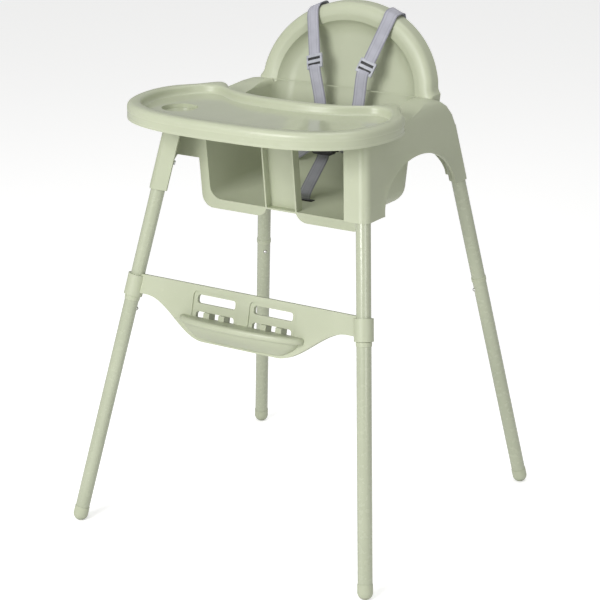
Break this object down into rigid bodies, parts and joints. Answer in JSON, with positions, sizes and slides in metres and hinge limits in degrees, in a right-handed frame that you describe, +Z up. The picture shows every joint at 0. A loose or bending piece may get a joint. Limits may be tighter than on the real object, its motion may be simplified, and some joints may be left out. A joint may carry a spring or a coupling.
{
  "type": "high chair",
  "caption": "Moulded high chair: arched seat shell with leg openings on four splayed tube legs, lift-off tray, footrest bar with plug-in shelf, and a strap harness",
  "frame": {"origin": "On the floor, midway between the four feet", "axes": "+Z up, the chair faces -Y, +X is the left of a seated child"},
  "size_m": [0.6194, 0.6064, 0.8969],
  "materials": {
    "green_plastic": "moulded polypropylene with a satin gloss",
    "painted_tube": "powder coated steel tube",
    "bare_steel": "zinc plated steel",
    "button_steel": "polished zinc plated pin",
    "webbing": "woven polyester webbing",
    "grey_plastic": "moulded acetal",
    "black_plastic": "moulded acetal, fine texture"
  },
  "bodies": {
    "root": {"buckle_body": "black_plastic", "buckle_tongue_left": "black_plastic", "buckle_tongue_right": "black_plastic", "crotch_strap": "webbing", "crotch_strap_plate": "black_plastic", "foot_cap_front_left": "green_plastic", "foot_cap_front_right": "green_plastic", "foot_cap_rear_left": "green_plastic", "foot_cap_rear_right": "green_plastic", "footrest_bar": "green_plastic", "leg_ring_front_left": "green_plastic", "leg_ring_front_right": "green_plastic", "leg_ring_rear_left": "green_plastic", "leg_ring_rear_right": "green_plastic", "leg_sleeve_front_left": "bare_steel", "leg_sleeve_front_right": "bare_steel", "leg_sleeve_rear_left": "bare_steel", "leg_sleeve_rear_right": "bare_steel", "lower_leg_front_left": "painted_tube", "lower_leg_front_right": "painted_tube", "lower_leg_rear_left": "painted_tube", "lower_leg_rear_right": "painted_tube", "seat_shell": "green_plastic", "shoulder_strap_anchor_left": "black_plastic", "shoulder_strap_anchor_right": "black_plastic", "shoulder_strap_left": "webbing", "shoulder_strap_right": "webbing", "socket_screws": "bare_steel", "upper_leg_front_left": "painted_tube", "upper_leg_front_right": "painted_tube", "upper_leg_rear_left": "painted_tube", "upper_leg_rear_right": "painted_tube", "waist_strap_left": "webbing", "waist_strap_plate_left": "black_plastic", "waist_strap_plate_right": "black_plastic", "waist_strap_right": "webbing"},
    "tray_body": {"tray": "green_plastic"},
    "shelf_body": {"footrest_shelf": "green_plastic"},
    "push_body": {"buckle_button": "black_plastic"},
    "adjuster_left_body": {"shoulder_adjuster_left": "grey_plastic"},
    "adjuster_right_body": {"shoulder_adjuster_right": "grey_plastic"},
    "snap_front_right_body": {"snap_button_front_right": "button_steel", "snap_spring_front_right": "bare_steel"},
    "snap_rear_right_body": {"snap_button_rear_right": "button_steel", "snap_spring_rear_right": "bare_steel"},
    "snap_front_left_body": {"snap_button_front_left": "button_steel", "snap_spring_front_left": "bare_steel"},
    "snap_rear_left_body": {"snap_button_rear_left": "button_steel", "snap_spring_rear_left": "bare_steel"}
  },
  "joints": [
    {"name": "tray_slide", "type": "slide", "parent": "root", "child": "tray_body", "axis": [0, -1, 0], "range_m": [0, 0.16]},
    {"name": "shelf_unplug", "type": "slide", "parent": "root", "child": "shelf_body", "axis": [0, -0.9747, 0.2234], "range_m": [0, 0.03]},
    {"name": "buckle_release", "type": "slide", "parent": "root", "child": "push_body", "axis": [0, 1, 0], "range_m": [0, 0.0025], "stiffness_N_per_m": 600, "springref_m": -0.002},
    {"name": "adjuster_left_slide", "type": "slide", "parent": "root", "child": "adjuster_left_body", "axis": [0.2748, 0.367, 0.8887], "range_m": [0, 0.045]},
    {"name": "adjuster_right_slide", "type": "slide", "parent": "root", "child": "adjuster_right_body", "axis": [-0.2748, 0.367, 0.8887], "range_m": [0, 0.045]},
    {"name": "snap_front_right_press", "type": "slide", "parent": "root", "child": "snap_front_right_body", "axis": [-0.7006, -0.6646, 0.2598], "range_m": [0, 0.0047], "stiffness_N_per_m": 800, "springref_m": -0.002},
    {"name": "snap_rear_right_press", "type": "slide", "parent": "root", "child": "snap_rear_right_body", "axis": [-0.6937, 0.681, 0.2346], "range_m": [0, 0.0047], "stiffness_N_per_m": 800, "springref_m": -0.002},
    {"name": "snap_front_left_press", "type": "slide", "parent": "root", "child": "snap_front_left_body", "axis": [0.7006, -0.6646, 0.2598], "range_m": [0, 0.0047], "stiffness_N_per_m": 800, "springref_m": -0.002},
    {"name": "snap_rear_left_press", "type": "slide", "parent": "root", "child": "snap_rear_left_body", "axis": [0.6937, 0.681, 0.2346], "range_m": [0, 0.0047], "stiffness_N_per_m": 800, "springref_m": -0.002}
  ]
}
